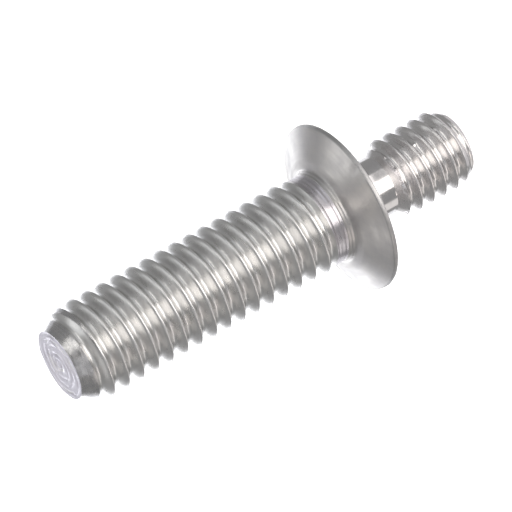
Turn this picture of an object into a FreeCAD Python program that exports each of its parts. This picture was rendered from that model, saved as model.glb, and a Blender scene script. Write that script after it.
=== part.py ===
"""Nose cone stud: one stainless bar turned with two threads, a thin bevelled flange and a polished neck.

The stud stands on the end of its small thread. Z runs up its axis to the large end, and the origin is
the centre of the small end. All sizes are millimetres.
"""
import FreeCAD, Part
import Sketcher
import math
import os

os.makedirs("parts", exist_ok=True)

doc = FreeCAD.newDocument("NoseConeStud")

SIZES = {
    # small thread, 5/16-18, up from the end that the stud stands on
    "SmallMajorDiameter": 7.9375,
    "SmallEndDiameter": 6.4,
    "SmallEndChamferHeight": 1.5,
    "SmallThreadLength": 7.6,
    "SmallThreadLeadOut": 1.1,
    # polished neck, which runs out into the flange with a large hollow fillet
    "NeckDiameter": 5.86,
    "NeckLength": 4.25,
    "NeckFillet": 2.8,
    # flange, flat on the neck's side and bevelled on the large thread's side
    "FlangeDiameter": 16.9,
    "FlangeRimThickness": 0.45,
    "FlangeEdgeBreak": 0.08,
    "FlangeBevelRise": 1.3,
    # collar that the large thread runs out on
    "CollarDiameter": 8.9,
    "CollarFillet": 1.15,
    "CollarLength": 1.9,
    "CollarTaperLength": 1.4,
    # large thread, 3/8-16, up to the faced end
    "LargeMajorDiameter": 9.525,
    "LargeThreadLength": 26.4,
    "LargeEndDiameter": 6.8,
    "LargeEndChamferHeight": 2.3,
}

sheet = doc.addObject("Spreadsheet::Sheet", "Sizes")
for row, (name, size) in enumerate(SIZES.items(), start=1):
    sheet.set("A%d" % row, name)
    sheet.set("B%d" % row, repr(size))
    sheet.setAlias("B%d" % row, name)
doc.recompute()

# heights along the axis, each written from the one below it
SMALL_CHAMFER_TOP = "Sizes.SmallEndChamferHeight"
SMALL_THREAD_TOP = "Sizes.SmallThreadLength"
NECK_BOTTOM = SMALL_THREAD_TOP + " + Sizes.SmallThreadLeadOut"
FLANGE_BACK = NECK_BOTTOM + " + Sizes.NeckLength"
NECK_TOP = FLANGE_BACK + " - Sizes.NeckFillet"
RIM_TOP = FLANGE_BACK + " + Sizes.FlangeRimThickness"
BEVEL_TOP = RIM_TOP + " + Sizes.FlangeBevelRise"
COLLAR_BOTTOM = BEVEL_TOP + " + Sizes.CollarFillet"
COLLAR_TOP = BEVEL_TOP + " + Sizes.CollarLength"
LARGE_THREAD_BOTTOM = COLLAR_TOP + " + Sizes.CollarTaperLength"
LARGE_END = LARGE_THREAD_BOTTOM + " + Sizes.LargeThreadLength"
LARGE_CHAMFER_BOTTOM = LARGE_END + " - Sizes.LargeEndChamferHeight"

# radii of the section
NECK_RADIUS = "Sizes.NeckDiameter / 2"
RIM_RADIUS = "Sizes.FlangeDiameter / 2"
COLLAR_RADIUS = "Sizes.CollarDiameter / 2"
SMALL_RADIUS = "Sizes.SmallMajorDiameter / 2"
LARGE_RADIUS = "Sizes.LargeMajorDiameter / 2"

# corners of the half section as (radius, height), from the axis at the small end to the axis at the top
SECTION = [
    ("0", "0"),
    ("Sizes.SmallEndDiameter / 2", "0"),
    (SMALL_RADIUS, SMALL_CHAMFER_TOP),
    (SMALL_RADIUS, SMALL_THREAD_TOP),
    (NECK_RADIUS, NECK_BOTTOM),
    (NECK_RADIUS, NECK_TOP),
    (NECK_RADIUS + " + Sizes.NeckFillet", FLANGE_BACK),
    (RIM_RADIUS + " - Sizes.FlangeEdgeBreak", FLANGE_BACK),
    (RIM_RADIUS, FLANGE_BACK + " + Sizes.FlangeEdgeBreak"),
    (RIM_RADIUS, RIM_TOP),
    (COLLAR_RADIUS + " + Sizes.CollarFillet", BEVEL_TOP),
    (COLLAR_RADIUS, COLLAR_BOTTOM),
    (COLLAR_RADIUS, COLLAR_TOP),
    (LARGE_RADIUS, LARGE_THREAD_BOTTOM),
    (LARGE_RADIUS, LARGE_CHAMFER_BOTTOM),
    ("Sizes.LargeEndDiameter / 2", LARGE_END),
    ("0", LARGE_END),
]

# the two sides of the section that are hollow fillets, by the corner that each starts from
HOLLOWS = {
    SECTION.index((NECK_RADIUS, NECK_TOP)): "Sizes.NeckFillet",
    SECTION.index((COLLAR_RADIUS + " + Sizes.CollarFillet", BEVEL_TOP)): "Sizes.CollarFillet",
}


def number(expression):
    """What a size expression comes to now."""
    result = sheet.evalExpression(expression)
    return float(getattr(result, "Value", result))


def hollow_arc(begin, end, radius):
    """Arc of the hollow fillet from begin to end, which curves into the metal on the left of that way."""
    middle = (begin + end) * 0.5
    outward = FreeCAD.Vector(end.y - begin.y, begin.x - end.x, 0).normalize()
    rise = math.sqrt(max(radius ** 2 - (end - begin).Length ** 2 / 4, 0))
    centre = middle + outward * rise
    first = math.atan2(end.y - centre.y, end.x - centre.x)
    last = math.atan2(begin.y - centre.y, begin.x - centre.x)
    return Part.ArcOfCircle(Part.Circle(centre, FreeCAD.Vector(0, 0, 1), radius), first, last)


def section_sketch(body, name, corners, hollows):
    """Closed sketch in the XZ plane with every corner and fillet tied to the sizes."""
    sketch = body.newObject("Sketcher::SketchObject", name)
    front = next(item for item in body.Origin.OriginFeatures if item.Role == "XZ_Plane")
    sketch.AttachmentSupport = [(front, "")]
    sketch.MapMode = "FlatFace"
    places = [FreeCAD.Vector(number(radius), number(height), 0) for radius, height in corners]
    begin_point = {}
    end_point = {}
    for side, begin in enumerate(places):
        end = places[(side + 1) % len(places)]
        if side in hollows:
            sketch.addGeometry(hollow_arc(begin, end, number(hollows[side])), False)
            begin_point[side] = 2
            end_point[side] = 1
        else:
            sketch.addGeometry(Part.LineSegment(begin, end), False)
            begin_point[side] = 1
            end_point[side] = 2
    for side in range(len(places)):
        following = (side + 1) % len(places)
        sketch.addConstraint(Sketcher.Constraint(
            "Coincident", side, end_point[side], following, begin_point[following]))
    for side, (radius, height) in enumerate(corners):
        for kind, expression in (("DistanceX", radius), ("DistanceY", height)):
            tie = sketch.addConstraint(Sketcher.Constraint(
                kind, -1, 1, side, begin_point[side], number(expression)))
            sketch.setExpression("Constraints[%d]" % tie, expression)
    for side, radius in hollows.items():
        tie = sketch.addConstraint(Sketcher.Constraint("Radius", side, number(radius)))
        sketch.setExpression("Constraints[%d]" % tie, radius)
    return sketch


def turned_stud():
    """The whole stud, turned from one bar, so it is one revolved section."""
    body = doc.addObject("PartDesign::Body", "Stud")
    body.Label = "nose_cone_stud"
    section = section_sketch(body, "TurnedSection", SECTION, HOLLOWS)
    turning = body.newObject("PartDesign::Revolution", "Turning")
    turning.Profile = section
    turning.ReferenceAxis = (section, ["V_Axis"])
    turning.Angle = 360
    body.Placement = FreeCAD.Placement(FreeCAD.Vector(0, 0, 0), FreeCAD.Rotation())
    return body


sub_parts = [turned_stud()]
doc.recompute()

for item in doc.Objects:
    if "Invalid" in item.State or "Error" in item.State:
        raise RuntimeError("%s failed: %s" % (item.Label, item.State))
for sub_part in sub_parts:
    if sub_part.Shape.isNull() or not sub_part.Shape.isValid():
        raise RuntimeError("%s has no valid shape" % sub_part.Label)

for sub_part in sub_parts:
    sub_part.Shape.exportStep("parts/%s.step" % sub_part.Label)
    box = sub_part.Shape.BoundBox
    print("%s: %.1f mm3, %.2f x %.2f x %.2f mm" % (
        sub_part.Label, sub_part.Shape.Volume, box.XLength, box.YLength, box.ZLength))
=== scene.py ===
import math
import bpy
import numpy as np
from mathutils import Matrix, Vector, noise


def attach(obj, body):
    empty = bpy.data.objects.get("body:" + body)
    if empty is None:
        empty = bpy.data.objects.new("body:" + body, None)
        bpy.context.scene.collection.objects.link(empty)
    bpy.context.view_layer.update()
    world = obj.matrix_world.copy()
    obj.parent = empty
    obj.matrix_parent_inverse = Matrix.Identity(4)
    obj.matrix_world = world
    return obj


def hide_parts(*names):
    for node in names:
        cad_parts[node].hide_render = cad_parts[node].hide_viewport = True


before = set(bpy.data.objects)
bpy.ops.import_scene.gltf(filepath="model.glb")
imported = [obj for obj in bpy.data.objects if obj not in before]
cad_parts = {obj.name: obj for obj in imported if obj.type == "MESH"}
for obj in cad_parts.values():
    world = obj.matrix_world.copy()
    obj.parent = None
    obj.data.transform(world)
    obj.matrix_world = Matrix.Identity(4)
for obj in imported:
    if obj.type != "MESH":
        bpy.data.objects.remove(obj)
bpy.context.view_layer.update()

MM = 0.001

# Camera. The photograph looks at the stud's side from 22.5 degrees towards its large end, turned in
# the frame until the large end points to the lower left.
CAMERA_ELEVATION = math.radians(22.5)
CAMERA_ROLL = math.radians(-119.45)
CAMERA_DISTANCE = 294 * MM
CAMERA_LENS = 227.25
CAMERA_FILM = 36
CAMERA_NEAR = 10 * MM
CAMERA_FAR = 10
AIM_HEIGHT = 22.9 * MM
AIM_RIGHT = 0.055 * MM
AIM_DOWN = 0.086 * MM

level = Vector((1, 0, 0))
rising = Vector((0, math.sin(CAMERA_ELEVATION), math.cos(CAMERA_ELEVATION)))
view_right = level * math.cos(CAMERA_ROLL) + rising * math.sin(CAMERA_ROLL)
view_up = rising * math.cos(CAMERA_ROLL) - level * math.sin(CAMERA_ROLL)
view_back = view_right.cross(view_up)
stud_middle = Vector((0, 0, AIM_HEIGHT))
camera_place = stud_middle + view_back * CAMERA_DISTANCE + view_right * AIM_RIGHT - view_up * AIM_DOWN
bpy.ops.object.select_all(action="DESELECT")
bpy.ops.object.camera_add(location=camera_place)
camera = bpy.context.active_object
camera.rotation_euler = Matrix((view_right, view_up, view_back)).transposed().to_euler()
camera.data.sensor_width = CAMERA_FILM
camera.data.lens = CAMERA_LENS
camera.data.clip_start = CAMERA_NEAR
camera.data.clip_end = CAMERA_FAR
bpy.context.scene.camera = camera
bpy.context.scene.view_settings.view_transform = "Standard"

# Floor. Plain white sweep paper, lit until it burns out as the photograph's ground does. Gloss doesn't
# see it, so the steel mirrors the studio round it and not the sheet that it stands on.
FLOOR_WIDTH = 3.0
FLOOR_COLOUR = "#f4f3f1"
FLOOR_ROUGHNESS = 0.9
FLOOR_GLOW = 1.05


def linear(code):
    """A colour written as sRGB hex, as the linear colour that the shaders take."""
    parts = [int(code[place:place + 2], 16) / 255 for place in (1, 3, 5)]
    return [part / 12.92 if part < 0.04045 else ((part + 0.055) / 1.055) ** 2.4 for part in parts] + [1]


bpy.ops.object.select_all(action="DESELECT")
bpy.ops.mesh.primitive_plane_add(size=FLOOR_WIDTH, location=(0, 0, 0))
floor = bpy.context.active_object
floor.name = "floor"
paper = bpy.data.materials.new("white sweep paper")
paper.use_nodes = True
paper_shader = paper.node_tree.nodes["Principled BSDF"]
paper_shader.inputs["Base Color"].default_value = linear(FLOOR_COLOUR)
paper_shader.inputs["Roughness"].default_value = FLOOR_ROUGHNESS
paper_shader.inputs["Emission Color"].default_value = linear(FLOOR_COLOUR)
paper_shader.inputs["Emission Strength"].default_value = FLOOR_GLOW
floor.data.materials.append(paper)
floor.visible_glossy = False
floor.visible_shadow = False

# Lights. A dim white room and soft boxes round the stud. Each box is placed by how far round the stud
# it stands from the camera's side, and how far up towards the large end, both in degrees. Then come its
# width and height in metres and how brightly it glows.
ROOM_GLOW = 0.34
LAMP_DISTANCE = 0.5

world = bpy.data.worlds.new("studio")
bpy.context.scene.world = world
world.use_nodes = True
world.node_tree.nodes["Background"].inputs["Color"].default_value = linear("#ffffff")
world.node_tree.nodes["Background"].inputs["Strength"].default_value = ROOM_GLOW


def soft_box(name, turn, lift, width, height, radiance, colour):
    """An area light that faces the stud's middle and glows with that radiance."""
    around, above = math.radians(turn), math.radians(lift)
    level_reach = math.cos(above)
    toward = Vector((-math.sin(around) * level_reach, -math.cos(around) * level_reach, math.sin(above)))
    bpy.ops.object.select_all(action="DESELECT")
    bpy.ops.object.light_add(type="AREA", location=stud_middle + toward * LAMP_DISTANCE)
    lamp = bpy.context.active_object
    lamp.name = name
    lamp.rotation_euler = toward.to_track_quat("Z", "Y").to_euler()
    lamp.visible_camera = False
    lamp.data.shape = "RECTANGLE"
    lamp.data.size = width
    lamp.data.size_y = height
    lamp.data.energy = radiance * width * height * math.pi
    lamp.data.color = linear(colour)[:3]


# windows on the camera's side, for the broad light along the threads and the strokes beside it
soft_box("key_window", 8, -26, 0.36, 0.42, 2.4, "#fffaf5")
soft_box("key_glow", -30, -43, 0.32, 0.26, 1.2, "#fffbf9")
soft_box("key_upper", 3, 13, 0.30, 0.28, 1.5, "#fffaf6")
soft_box("small_end_window", 26, -56, 0.40, 0.24, 1.0, "#fffaf6")
soft_box("left_window", -36, 40, 0.28, 0.20, 1.6, "#fffdf9")
soft_box("upper_fill", -44, -6, 0.40, 0.24, 0.55, "#f8faff")
soft_box("lower_strip", 67, 8, 0.30, 0.22, 1.3, "#fff4ee")
soft_box("lower_patch", 94, -20, 0.26, 0.26, 0.7, "#fffaf6")
# walls towards the large end, for its face and chamfer and for the flange's bevel
soft_box("large_end_wall", 176, 65, 0.50, 0.28, 0.72, "#fffcfb")
soft_box("upper_end_window", -110, 63, 0.44, 0.26, 0.65, "#fcfeff")
soft_box("lower_end_fill", 36, 38, 0.44, 0.20, 0.45, "#fbfbff")
# strips and walls behind, for the threads' outer edges and for the side that faces away
soft_box("back_strip", 180, 2, 0.70, 0.20, 1.6, "#fafcff")
soft_box("back_upper", 180, 32, 0.36, 0.14, 0.8, "#f8f8ff")
soft_box("back_wall", 180, -18, 1.00, 0.60, 0.9, "#fafbff")
soft_box("upper_back", -142, 8, 0.30, 0.24, 0.5, "#f4f6ff")
soft_box("lower_back", 146, 8, 0.30, 0.24, 0.5, "#fafaff")
# a wall off the small end, for the sides of the threads that face that way
soft_box("small_end_wall", 36, -84, 0.73, 1.11, 0.4, "#fffaff")

# The stud. One bar of stainless steel, turned and threaded in a lathe, so it is one piece. The threads
# are cut right-handed, 3/8-16 and 5/16-18, and the large one runs out on a collar.
TURN_STEPS = 144
CLOSE = 0.0015 * MM

# a 60 degree thread with a hollow root. Its crest is flat for a share of the pitch, with rounded edges,
# and the side of each ridge that faces the large end rolls over a little before it reaches the crest.
THREAD_HALF_ANGLE = math.radians(30)
CREST_FLAT = 1 / 8
EDGE_ROUNDING = 0.055 * MM
EDGE_STEP = 0.05 * MM
ROOT_HALF_WIDTH = 0.40 * MM
FLANK_ROLL = 0.16

# where the groove's line has points: in the hollow root as shares of the pitch, and up the sides as
# shares of their width, with one more on the side that rolls over
ROOT_SHARES = (0.045, 0.09, 0.15)
FLANK_SHARES = (0.40, 0.70)
ROLLED_SHARE = 0.86
EDGE_HALVINGS = 20
EDGE_GAP_SHARE = 0.4


def draw_line(name, points):
    """A new object with one open line, drawn point by point in the XZ plane as (radius, height)."""
    bpy.ops.object.select_all(action="DESELECT")
    bpy.ops.mesh.primitive_plane_add(size=MM, location=(points[0][0], 0, points[0][1]))
    line = bpy.context.active_object
    line.name = name
    bpy.ops.object.mode_set(mode="EDIT")
    bpy.ops.mesh.select_all(action="SELECT")
    bpy.ops.mesh.merge(type="CENTER")
    for begin, end in zip(points, points[1:]):
        step = (end[0] - begin[0], 0, end[1] - begin[1])
        bpy.ops.mesh.extrude_region_move(TRANSFORM_OT_translate={"value": step})
    bpy.ops.object.mode_set(mode="OBJECT")
    bpy.ops.object.transform_apply()
    return line


def merge_doubles(piece):
    """Merges a piece's points that lie together."""
    bpy.ops.object.select_all(action="DESELECT")
    piece.select_set(True)
    bpy.context.view_layer.objects.active = piece
    bpy.ops.object.mode_set(mode="EDIT")
    bpy.ops.mesh.select_all(action="SELECT")
    bpy.ops.mesh.remove_doubles(threshold=CLOSE)
    bpy.ops.object.mode_set(mode="OBJECT")


def turn_round(line, rise=0.0, count=1, pitch=0.0):
    """Repeats a line up the axis and turns it once round the axis, rising as it goes."""
    if count > 1:
        bpy.ops.object.modifier_add(type="ARRAY")
        rows = line.modifiers[-1]
        rows.use_relative_offset = False
        rows.use_constant_offset = True
        rows.constant_offset_displace = (0, 0, pitch)
        rows.count = count
        rows.use_merge_vertices = True
        rows.merge_threshold = CLOSE
        bpy.ops.object.modifier_apply(modifier=rows.name)
    bpy.ops.object.modifier_add(type="SCREW")
    turning = line.modifiers[-1]
    turning.axis = "Z"
    turning.angle = 2 * math.pi
    turning.screw_offset = rise
    turning.steps = TURN_STEPS
    turning.render_steps = TURN_STEPS
    turning.use_smooth_shade = True
    bpy.ops.object.modifier_apply(modifier=turning.name)
    merge_doubles(line)


def read_points(piece):
    """A piece's points as rows of x, y and z."""
    points = np.zeros(len(piece.data.vertices) * 3)
    piece.data.vertices.foreach_get("co", points)
    return points.reshape(-1, 3)


def write_points(piece, points):
    """Puts a piece's points at these places."""
    piece.data.vertices.foreach_set("co", points.ravel())
    piece.data.update()


def rounded_lower(first, second, rounding):
    """The lower of two heights, with the corner where they cross rounded off."""
    near = np.maximum(rounding - np.abs(first - second), 0) / rounding
    return np.minimum(first, second) - near ** 2 * rounding / 4


def cut_thread(name, pitch, major, root, groove_height, low, high, outline, lift):
    """A threaded sleeve from low to high: one groove's line, repeated up the axis and screwed round it,
    then trimmed to the turned outline, with its grooves raised by lift where the tool ran out."""
    slope = 1 / math.tan(THREAD_HALF_ANGLE)
    crest = 0.5 - CREST_FLAT / 2
    floor_half = crest - (major - root) / slope / pitch
    edge = EDGE_STEP / pitch
    flank = [floor_half + (crest - floor_half) * share for share in FLANK_SHARES]
    rolled = floor_half + (crest - floor_half) * ROLLED_SHARE
    shares = [*ROOT_SHARES, *flank, crest - edge, crest, crest + edge, 0.5]
    shares = sorted([-share for share in shares] + [0, -rolled] + shares)
    turns_below = math.ceil((groove_height - low) / pitch) + 2
    turns_above = math.ceil((high - groove_height) / pitch) + 1
    start = groove_height - turns_below * pitch
    sleeve = draw_line(name, [(major, start + share * pitch) for share in shares])
    turn_round(sleeve, rise=pitch, count=turns_below + turns_above, pitch=pitch)
    points = read_points(sleeve)
    turned = np.arctan2(points[:, 1], points[:, 0]) / (2 * math.pi) % 1
    columns = np.round(turned * TURN_STEPS).astype(int) % TURN_STEPS

    def groove_radius(height, share):
        """How far out the thread's groove reaches at this height, on the column that far round."""
        turns = (height - groove_height) / pitch - share
        centre = groove_height + (np.round(turns) + share) * pitch
        side = np.abs(height - centre)
        walls = root + (side - floor_half * pitch) * slope
        over = np.where(height < centre, np.maximum(2 * (walls - root) / (major - root) - 1, 0), 0)
        walls = walls - FLANK_ROLL * over ** 2 * (major - root) / 2
        rise = (ROOT_HALF_WIDTH / 2 - floor_half * pitch + side ** 2 / (2 * ROOT_HALF_WIDTH)) * slope
        return np.where(side < ROOT_HALF_WIDTH, root + rise, walls) + lift(centre)

    for column in range(TURN_STEPS):
        share = column / TURN_STEPS
        members = np.flatnonzero(columns == column)
        members = members[np.argsort(points[members, 2])]
        heights = points[members, 2].copy()
        # the edges of the crests, where the groove comes out through the outline, found by halving
        spare = outline(heights) - groove_radius(heights, share)
        crossings = []
        for place in np.flatnonzero(spare[:-1] * spare[1:] < 0):
            below, above = heights[place], heights[place + 1]
            for _ in range(EDGE_HALVINGS):
                middle = (below + above) / 2
                at = np.array([middle])
                same = (outline(at) - groove_radius(at, share))[0] * spare[place] > 0
                below, above = (middle, above) if same else (below, middle)
            crossings.append(below)
        # the nearest point of the column goes to each edge, and its neighbours close to either side
        for crossing in crossings:
            nearest = int(np.argmin(np.abs(heights - crossing)))
            others = [abs(other - crossing) for other in crossings if other != crossing]
            reach = min([EDGE_STEP] + [EDGE_GAP_SHARE * gap for gap in others])
            for offset in (-1, 0, 1):
                if 0 <= nearest + offset < len(heights):
                    heights[nearest + offset] = crossing + offset * reach
        heights = np.clip(np.maximum.accumulate(heights), low, high)
        radii = rounded_lower(outline(heights), groove_radius(heights, share), EDGE_ROUNDING)
        angle = share * 2 * math.pi
        points[members, 0] = radii * math.cos(angle)
        points[members, 1] = radii * math.sin(angle)
        points[members, 2] = heights
    write_points(sleeve, points)
    merge_doubles(sleeve)
    return sleeve


# the large thread, from the collar's foot to the chamfered end, with its radii and then its heights
LARGE_PITCH = 1.5875 * MM
LARGE_RADIUS = 4.7625 * MM
LARGE_ROOT = 3.785 * MM
COLLAR_RADIUS = 4.45 * MM
FACE_RADIUS = 3.4 * MM
LARGE_LOW = 15.58 * MM
COLLAR_TOP = 16.6 * MM
LARGE_GROOVE = 17.895 * MM
LARGE_BOTTOM = 18.0 * MM
LARGE_CHAMFER = 42.1 * MM
LARGE_HIGH = 44.4 * MM

# the feed marks on the collar, which fade in above its foot and out under the thread
COLLAR_RIPPLE = 0.032 * MM
COLLAR_FEED = 0.42 * MM
RIPPLE_START = 0.1 * MM
RIPPLE_END = 1.0 * MM
RIPPLE_TOP = 17.2 * MM

# the run-out, where the tool draws out on a slope and then faster
RUN_OUT_TOP = 17.9 * MM
RUN_OUT_SLOPE = 0.306
RUN_OUT_STRAIGHT = 2.0 * MM
RUN_OUT_CURVE = 2500


def large_outline(height):
    """The turned outline that the large thread is cut into, with the feed marks left on its collar."""
    turned = np.interp(
        height,
        [COLLAR_TOP, LARGE_BOTTOM, LARGE_CHAMFER, LARGE_HIGH],
        [COLLAR_RADIUS, LARGE_RADIUS, LARGE_RADIUS, FACE_RADIUS])
    fade_in = np.clip((height - LARGE_LOW) / RIPPLE_START, 0, 1)
    fade_out = np.clip((RIPPLE_TOP - height) / RIPPLE_END, 0, 1)
    ripple = 0.5 - 0.5 * np.cos(2 * math.pi * (height - LARGE_LOW) / COLLAR_FEED)
    return turned - COLLAR_RIPPLE * (fade_in * fade_out) * ripple


def large_lift(centre):
    """How far the tool has drawn out of the groove whose middle is at this height."""
    drawn = np.maximum(RUN_OUT_TOP - centre, 0)
    late = np.maximum(drawn - RUN_OUT_STRAIGHT, 0)
    return RUN_OUT_SLOPE * drawn + RUN_OUT_CURVE * late ** 2


large_thread = cut_thread(
    "large_thread", LARGE_PITCH, LARGE_RADIUS, LARGE_ROOT, LARGE_GROOVE,
    LARGE_LOW, LARGE_HIGH, large_outline, large_lift)

# the small thread, from the end that the stud stands on to the neck, with its radii and its heights
SMALL_PITCH = 1.4111 * MM
SMALL_RADIUS = 3.969 * MM
SMALL_ROOT = 3.095 * MM
SMALL_END_RADIUS = 3.2 * MM
NECK_RADIUS = 2.93 * MM
SMALL_LOW = 0.0
SMALL_CHAMFER = 1.5 * MM
SMALL_TOP = 7.6 * MM
SMALL_GROOVE = 7.95 * MM
SMALL_HIGH = 8.7 * MM


def small_outline(height):
    """The turned outline that the small thread is cut into."""
    return np.interp(
        height,
        [SMALL_LOW, SMALL_CHAMFER, SMALL_TOP, SMALL_HIGH],
        [SMALL_END_RADIUS, SMALL_RADIUS, SMALL_RADIUS, NECK_RADIUS])


small_thread = cut_thread(
    "small_thread", SMALL_PITCH, SMALL_RADIUS, SMALL_ROOT, SMALL_GROOVE,
    SMALL_LOW, SMALL_HIGH, small_outline, lambda centre: np.zeros_like(centre))

# the flange and neck, as points (radius, height) in millimetres from the collar down to the small
# thread, first the two small steps that the tool left at the collar's foot
COLLAR_FOOT = [
    (4.45, 15.58), (4.47, 15.54), (4.53, 15.51), (4.545, 15.46), (4.55, 15.36), (4.575, 15.29),
    (4.64, 15.245), (4.665, 15.18), (4.68, 15.08), (4.72, 15.00), (4.82, 14.94)]
# the flatter ring round the collar's foot, and the bevel outside it
INNER_RING = [(5.0, 14.885), (5.3, 14.793), (5.56, 14.712), (5.62, 14.688)]
BEVEL = [(5.9, 14.563), (6.4, 14.335), (7.0, 14.061), (7.6, 13.788), (8.1, 13.560), (8.33, 13.452)]
# the rim, with both its edges rounded
RIM = [
    (8.40, 13.405), (8.435, 13.345), (8.45, 13.27), (8.45, 13.18), (8.435, 13.08), (8.40, 13.005),
    (8.34, 12.96)]
# the flat far side, the large fillet that it runs into, and the neck down to the small thread
FAR_SIDE = [(8.26, 12.95), (7.6, 12.95), (6.6, 12.95)]
NECK_FILLET = 2.8 * MM
NECK_FILLET_MIDDLE = (5.73 * MM, 10.15 * MM)
NECK_FILLET_STEPS = 16
NECK_HEIGHTS = (9.8, 9.4, 9.0, 8.7)


def arc_points(centre, radius, first, last, count):
    """Points along an arc of the section, between two angles in degrees."""
    angles = [math.radians(first + (last - first) * step / count) for step in range(count + 1)]
    return [(centre[0] + radius * math.cos(angle), centre[1] + radius * math.sin(angle)) for angle in angles]


flange_points = COLLAR_FOOT + INNER_RING + BEVEL + RIM + FAR_SIDE
flange_line = [(radius * MM, height * MM) for radius, height in flange_points]
flange_line += arc_points(NECK_FILLET_MIDDLE, NECK_FILLET, 90, 180, NECK_FILLET_STEPS)
flange_line += [(NECK_RADIUS, height * MM) for height in NECK_HEIGHTS]
flange = draw_line("flange", flange_line)
turn_round(flange)

# the faced ends. The facing tool left a spiral groove on the large one, wavering and uneven, which runs
# in to a small pip off the centre. The small one's rings start inside its chamfer.
FACE_FEED = 0.72 * MM
FACE_GROOVE = 0.095 * MM
FACE_STEPS = 56
PIP_SHIFT = (0.16 * MM, 0.30 * MM)
PIP_RADIUS = 0.3 * MM
FACE_DRIFT = 1.1 * MM
SPIRAL_WAVER = 2.5
GROOVE_NARROWING = 1.6
GROOVE_MEAN = 0.75
GROOVE_DRIFT = 0.9
RIM_FADE = 8
SMALL_FACE_RADIUS = 3.04 * MM
SMALL_FACE_STEPS = 12


def noise_at(points, size):
    """Soft noise about zero at each point, with lumps of that size."""
    return np.array([noise.noise(Vector(point) / size) for point in points])


def face_disc(name, radius, steps, height):
    """A flat disc of rings round the axis at this height."""
    disc = draw_line(name, [(radius - step * radius / steps, height) for step in range(steps + 1)])
    turn_round(disc)
    return disc


large_face = face_disc("large_face", FACE_RADIUS, FACE_STEPS, LARGE_HIGH)
points = read_points(large_face)
inward = 1 - np.hypot(points[:, 0], points[:, 1]) / FACE_RADIUS
across = points[:, 0] - PIP_SHIFT[0] * inward
along = points[:, 1] - PIP_SHIFT[1] * inward
reach = np.hypot(across, along)
turns = reach / FACE_FEED + np.arctan2(along, across) / (2 * math.pi)
unevenness = noise_at(points, FACE_DRIFT)
groove = (0.5 - 0.5 * np.cos(2 * math.pi * turns + SPIRAL_WAVER * unevenness)) ** GROOVE_NARROWING
rim_fade = np.clip(inward * RIM_FADE, 0, 1)
pip_fade = np.clip(reach / PIP_RADIUS, 0, 1)
depth = FACE_GROOVE * (GROOVE_MEAN + GROOVE_DRIFT * unevenness) * rim_fade * pip_fade
points[:, 2] -= np.maximum(groove * depth, 0)
write_points(large_face, points)
small_face = face_disc("small_face", SMALL_FACE_RADIUS, SMALL_FACE_STEPS, SMALL_LOW)

# the five turned parts become one piece, and the open rings where they meet are bridged
bpy.ops.object.select_all(action="DESELECT")
for part in (large_thread, small_thread, flange, large_face, small_face):
    part.select_set(True)
bpy.context.view_layer.objects.active = large_thread
bpy.ops.object.join()
stud = bpy.context.active_object
stud.name = "stud"
merge_doubles(stud)
bpy.ops.object.mode_set(mode="EDIT")
bpy.ops.mesh.select_mode(type="EDGE")
bpy.ops.mesh.select_all(action="DESELECT")
bpy.ops.mesh.select_non_manifold(extend=False, use_wire=False, use_multi_face=False,
                                 use_non_contiguous=False, use_verts=False)
bpy.ops.mesh.bridge_edge_loops()
bpy.ops.mesh.select_all(action="SELECT")
bpy.ops.mesh.normals_make_consistent(inside=False)
bpy.ops.object.mode_set(mode="OBJECT")

# wear, first the size of its lumps
FINE_LUMPS = 0.32 * MM
GRITTY_LUMPS = 0.19 * MM
BROAD_LUMPS = 1.3 * MM
SPECK_LUMPS = 0.07 * MM
# nicks along the crests, between the ends of the threads
CREST_WEAR = 0.016 * MM
CREST_BAND = 0.06 * MM
CREST_LOW = 0.2 * MM
CREST_HIGH = 43.9 * MM
COLLAR_CREST_LOW = 16.0 * MM
# a ragged edge round the large end's face, and an uneven rim
EDGE_WEAR = 0.05 * MM
EDGE_BAND = 0.06 * MM
EDGE_DROP = 0.6
RIM_WEAR = 0.05 * MM
RIM_INNER = 8.3 * MM
RIM_LOW = 12.96 * MM
# the torn burr where the small thread meets the neck, with pits and a ridge of specks, which is highest
# at one heading, in degrees round the axis, and dies away over so many degrees to either side
BURR_WEAR = 0.13 * MM
BURR_LOW = 7.45 * MM
BURR_HIGH = 8.5 * MM
BURR_INNER = 3.4 * MM
BURR_RIDGE = 0.26 * MM
RIDGE_HEIGHT = 8.05 * MM
RIDGE_WIDTH = 0.18 * MM
BURR_HEADING = -88
BURR_SPREAD = 30
# two small dings on the small thread, by heading in degrees and height in millimetres, with the metal
# that they raised
NICKS = ((-59.5, 4.87), (-51, 2.18))
NICK_HEIGHT = 0.17 * MM
NICK_WIDTH = 0.14 * MM
# three short marks beside the flange's rim, by heading
TICKS = (-72.5, -75.0, -80.0)
TICK_HALF_ANGLE = 0.6
TICK_DEPTH = 0.06 * MM
TICK_INNER = 7.9 * MM
TICK_OUTER = 8.42 * MM
TICK_LOW = 13.3 * MM
# wear draws a point in by a share of its distance from the axis, taken as no less than this
LEAST_REACH = 0.1 * MM

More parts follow.
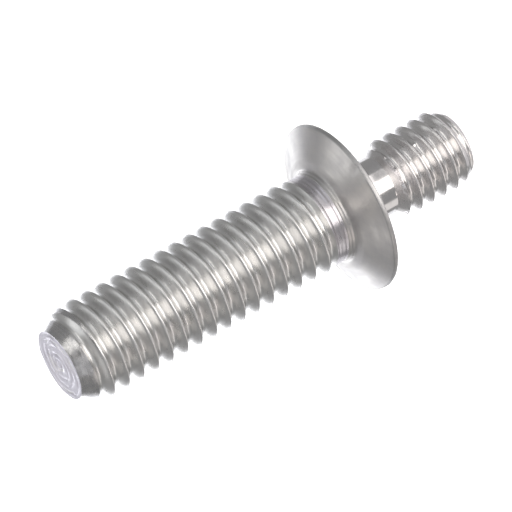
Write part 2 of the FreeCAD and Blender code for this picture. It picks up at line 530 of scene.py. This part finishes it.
points = read_points(stud)
reach = np.hypot(points[:, 0], points[:, 1])
height = points[:, 2]
around = np.degrees(np.arctan2(points[:, 1], points[:, 0]))
fine = noise_at(points, FINE_LUMPS)
grit = noise_at(points, GRITTY_LUMPS)
broad = noise_at(points, BROAD_LUMPS)
specks = noise_at(points, SPECK_LUMPS)
outline = np.where(height > LARGE_LOW, large_outline(height), small_outline(height))
on_thread = (height < SMALL_HIGH) | (height > COLLAR_CREST_LOW)
on_crest = on_thread & (reach > outline - CREST_BAND) & (height > CREST_LOW) & (height < CREST_HIGH)
loss = np.where(on_crest, CREST_WEAR * np.maximum(fine + 0.4 * broad, 0), 0)
face_edge = np.exp(-((reach - FACE_RADIUS) ** 2 + (height - LARGE_HIGH) ** 2) / EDGE_BAND ** 2)
loss += EDGE_WEAR * face_edge * np.maximum(fine + 0.2, 0)
on_burr = (height > BURR_LOW) & (height < BURR_HIGH) & (reach > BURR_INNER)
loss += np.where(on_burr, BURR_WEAR * np.maximum(grit + 0.4 * fine, 0), 0)
on_rim = (reach > RIM_INNER) & (height > RIM_LOW)
loss += np.where(on_rim, RIM_WEAR * np.maximum(grit + 0.3 * broad, 0), 0)
round_ridge = ((around - BURR_HEADING) / BURR_SPREAD) ** 2
ridge = np.exp(-((height - RIDGE_HEIGHT) / RIDGE_WIDTH) ** 2 - round_ridge)
loss -= np.where(on_burr, BURR_RIDGE * ridge * np.maximum(specks + 0.1, 0), 0)
for heading, rise in NICKS:
    apart = np.hypot(np.radians(around - heading) * reach, height - rise * MM)
    loss -= NICK_HEIGHT * np.exp(-(apart / NICK_WIDTH) ** 2)
beside_rim = (reach > TICK_INNER) & (reach < TICK_OUTER)
for tick in TICKS:
    on_tick = (np.abs(around - tick) < TICK_HALF_ANGLE) & beside_rim & (height > TICK_LOW)
    points[on_tick, 2] -= TICK_DEPTH
points[:, :2] *= (1 - loss / np.maximum(reach, LEAST_REACH))[:, None]
points[:, 2] -= EDGE_DROP * EDGE_WEAR * face_edge * np.maximum(broad + 0.2, 0)
write_points(stud, points)

# the finishes. All are stainless steel, bare and cut by a tool, so they are metal with soft gloss, and
# differ in how bright, smooth and streaked the tool left them. Real turning marks are a few hundredths
# of a millimetre apart, too fine to show in the render, so each is drawn as coarse as it needs to show.
QUARTER_TURN = 0.25
MARK_DRIFT = (2.2, 2.2, 0)
WORN_LOW = 0.12
WORN_HIGH = 0.38


def add_node(tree, kind, inputs=(), **settings):
    """Adds a node to a tree, with its settings, and with a value or a link for each named input."""
    node = tree.nodes.new(kind)
    for name, value in settings.items():
        setattr(node, name, value)
    for name, value in dict(inputs).items():
        if isinstance(value, bpy.types.NodeSocket):
            tree.links.new(value, node.inputs[name])
        else:
            node.inputs[name].default_value = value
    return node


def steel_finish(name, bright, dull, smooth, rough, grain, streak, groove, patch=1.6 * MM):
    """A stainless steel finish. Its turning marks run round the axis, streak apart and groove deep, so
    gloss spreads across them, and its tone and smoothness drift between two values in soft patches."""
    finish = bpy.data.materials.new(name)
    finish.use_nodes = True
    tree = finish.node_tree
    shader = tree.nodes["Principled BSDF"]
    shader.inputs["Metallic"].default_value = 1
    shader.inputs["Anisotropic"].default_value = grain
    shader.inputs["Anisotropic Rotation"].default_value = QUARTER_TURN
    round_axis = add_node(tree, "ShaderNodeTangent", direction_type="RADIAL", axis="Z")
    tree.links.new(round_axis.outputs["Tangent"], shader.inputs["Tangent"])
    # the marks change fast along the axis and outwards, and slowly round the axis
    place = add_node(tree, "ShaderNodeTexCoord").outputs["Object"]
    parts = add_node(tree, "ShaderNodeSeparateXYZ", {"Vector": place})
    flat = add_node(tree, "ShaderNodeCombineXYZ", {"X": parts.outputs["X"], "Y": parts.outputs["Y"]})
    radius = add_node(tree, "ShaderNodeVectorMath", {0: flat.outputs[0]}, operation="LENGTH")
    heading = add_node(tree, "ShaderNodeVectorMath", {0: flat.outputs[0]}, operation="NORMALIZE")
    depth = add_node(tree, "ShaderNodeMath", {0: radius.outputs["Value"], 1: 1 / streak},
                     operation="MULTIPLY")
    rise = add_node(tree, "ShaderNodeMath", {0: parts.outputs["Z"], 1: 1 / streak}, operation="MULTIPLY")
    drift = add_node(tree, "ShaderNodeVectorMath", {0: heading.outputs["Vector"], 1: MARK_DRIFT},
                     operation="MULTIPLY")
    lift = add_node(tree, "ShaderNodeCombineXYZ", {"Z": depth.outputs[0]})
    path = add_node(tree, "ShaderNodeVectorMath", {0: drift.outputs["Vector"], 1: lift.outputs[0]},
                    operation="ADD")
    marks = add_node(tree, "ShaderNodeTexNoise", {"Vector": path.outputs["Vector"], "W": rise.outputs[0],
                                                  "Scale": 1.0, "Detail": 2.0}, noise_dimensions="4D")
    relief = add_node(tree, "ShaderNodeBump", {"Height": marks.outputs["Fac"], "Distance": groove,
                                               "Strength": 1.0})
    tree.links.new(relief.outputs["Normal"], shader.inputs["Normal"])
    # the patches mix the two tones, through the mix node's colour sockets, which go by number
    patches = add_node(tree, "ShaderNodeTexNoise", {"Vector": place, "Scale": 1 / patch,
                                                    "Detail": 3.0, "Roughness": 0.6})
    shades = add_node(tree, "ShaderNodeMix", {"Factor": patches.outputs["Fac"]}, data_type="RGBA")
    shades.inputs[6].default_value = linear(dull)
    shades.inputs[7].default_value = linear(bright)
    tree.links.new(shades.outputs[2], shader.inputs["Base Color"])
    # patches and marks together say how smooth the steel is
    both = add_node(tree, "ShaderNodeMath", {0: patches.outputs["Fac"], 1: marks.outputs["Fac"]},
                    operation="MULTIPLY")
    polish = add_node(tree, "ShaderNodeMapRange", {"Value": both.outputs[0], "From Min": WORN_LOW,
                                                   "From Max": WORN_HIGH, "To Min": rough,
                                                   "To Max": smooth})
    tree.links.new(polish.outputs["Result"], shader.inputs["Roughness"])
    return finish


finishes = [
    # as the threading tool left it: light steel with a soft gloss that spreads along the axis
    steel_finish(
        "cut stainless thread", bright="#dcdbd9", dull="#c9c9c9", smooth=0.26, rough=0.36,
        grain=0.5, streak=0.22 * MM, groove=0.005 * MM),
    # the flange, as turned: greyer and satin, with a grain that rings it
    steel_finish(
        "turned stainless", bright="#cac7c3", dull="#b5b4b6", smooth=0.34, rough=0.48,
        grain=0.7, streak=0.20 * MM, groove=0.006 * MM),
    # the neck and its fillet, polished: sharp reflections of the studio and hardly a mark
    steel_finish(
        "polished stainless", bright="#dbd9d8", dull="#cdcbcc", smooth=0.14, rough=0.22,
        grain=0.3, streak=0.60 * MM, groove=0.003 * MM),
    # the end faces, faced across: pale, a little cool, with fine rings
    steel_finish(
        "faced stainless", bright="#dbd9df", dull="#c3c0ca", smooth=0.28, rough=0.40,
        grain=0.6, streak=0.18 * MM, groove=0.008 * MM),
    # the large end's chamfer, scuffed in use: bright rubs and dark dull patches side by side
    steel_finish(
        "scuffed chamfer", bright="#d8d6d4", dull="#909195", smooth=0.16, rough=0.38,
        grain=0.4, streak=0.16 * MM, groove=0.010 * MM, patch=0.6 * MM),
    # the small thread, cut more finely: brighter and with harder lights than the large one
    steel_finish(
        "bright cut small thread", bright="#e4e2e0", dull="#cbc9ca", smooth=0.20, rough=0.30,
        grain=0.5, streak=0.22 * MM, groove=0.005 * MM),
    # the collar, turned with a coarse feed: a soft gloss in narrow lit rings
    steel_finish(
        "turned collar", bright="#d6d3d6", dull="#bfbcc2", smooth=0.26, rough=0.36,
        grain=0.5, streak=0.14 * MM, groove=0.010 * MM, patch=0.8 * MM),
    # the burr, torn and not cut: tiny white glints among grey specks, with no grain
    steel_finish(
        "torn stainless burr", bright="#ffffff", dull="#a39ea1", smooth=0.14, rough=0.34,
        grain=0.0, streak=0.10 * MM, groove=0.008 * MM, patch=0.14 * MM),
    # the flange's rim, parted off: dull grey with little gloss
    steel_finish(
        "stainless parted at the rim", bright="#c4c3c2", dull="#9f9fa0", smooth=0.42, rough=0.60,
        grain=0.5, streak=0.12 * MM, groove=0.012 * MM),
]
THREAD, TURNED, POLISHED, FACED, SCUFFED, SMALL, COLLAR, BURR, PARTED = range(9)

# where each finish lies, by the heights and radii that its faces are between
SURFACE_BAND = 0.03 * MM
FLANGE_LOW = 12.9 * MM
COLLAR_HIGH = 17 * MM
RAGGEDNESS = 0.2 * MM
RAGGED_LUMPS = 0.4 * MM
TORN_HEIGHT = 8.08 * MM
TORN_CLIMB = 0.10 * MM
TORN_HALF_HEIGHT = 0.2 * MM
TORN_HEADING = -84
TORN_INNER = 3.1 * MM
SCUFFED_LOW = 42.15 * MM
POLISHED_HIGH = 12.95 * MM
POLISHED_OUTER = 5.75 * MM
LARGE_FACE_LOW = 44.32 * MM
LARGE_FACE_OUTER = 3.38 * MM
SMALL_FACE_HIGH = 0.01 * MM
PARTED_INNER = 8.32 * MM
SMOOTH_ANGLE = math.radians(40)

stud.data.materials.clear()
for finish in finishes:
    stud.data.materials.append(finish)
places = np.zeros(len(stud.data.polygons) * 3)
stud.data.polygons.foreach_get("center", places)
places = places.reshape(-1, 3)
reach = np.hypot(places[:, 0], places[:, 1])
height = places[:, 2]
around = np.degrees(np.arctan2(places[:, 1], places[:, 0]))
on_outline = reach > large_outline(height) - SURFACE_BAND
kinds = np.full(len(places), THREAD, dtype=np.int32)
kinds[(height > FLANGE_LOW) & (height < LARGE_LOW)] = TURNED
kinds[(height > LARGE_LOW) & (height < COLLAR_HIGH) & on_outline] = COLLAR
kinds[height < SMALL_HIGH] = SMALL
ragged = RAGGEDNESS * noise_at(places, RAGGED_LUMPS)
torn_middle = TORN_HEIGHT + TORN_CLIMB * (around - BURR_HEADING) / BURR_SPREAD
near_torn = np.abs(height - torn_middle + ragged) < TORN_HALF_HEIGHT
kinds[near_torn & (np.abs(around - TORN_HEADING) < BURR_SPREAD) & (reach > TORN_INNER)] = BURR
kinds[(height > SCUFFED_LOW) & on_outline] = SCUFFED
kinds[(height > SMALL_HIGH) & (height < POLISHED_HIGH) & (reach < POLISHED_OUTER)] = POLISHED
kinds[(height > LARGE_FACE_LOW) & (reach < LARGE_FACE_OUTER) | (height < SMALL_FACE_HIGH)] = FACED
kinds[reach > PARTED_INNER] = PARTED
stud.data.polygons.foreach_set("material_index", kinds)
bpy.ops.object.select_all(action="DESELECT")
stud.select_set(True)
bpy.context.view_layer.objects.active = stud
bpy.ops.object.shade_smooth_by_angle(angle=SMOOTH_ANGLE)

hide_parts("nose_cone_stud")
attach(stud, "root")
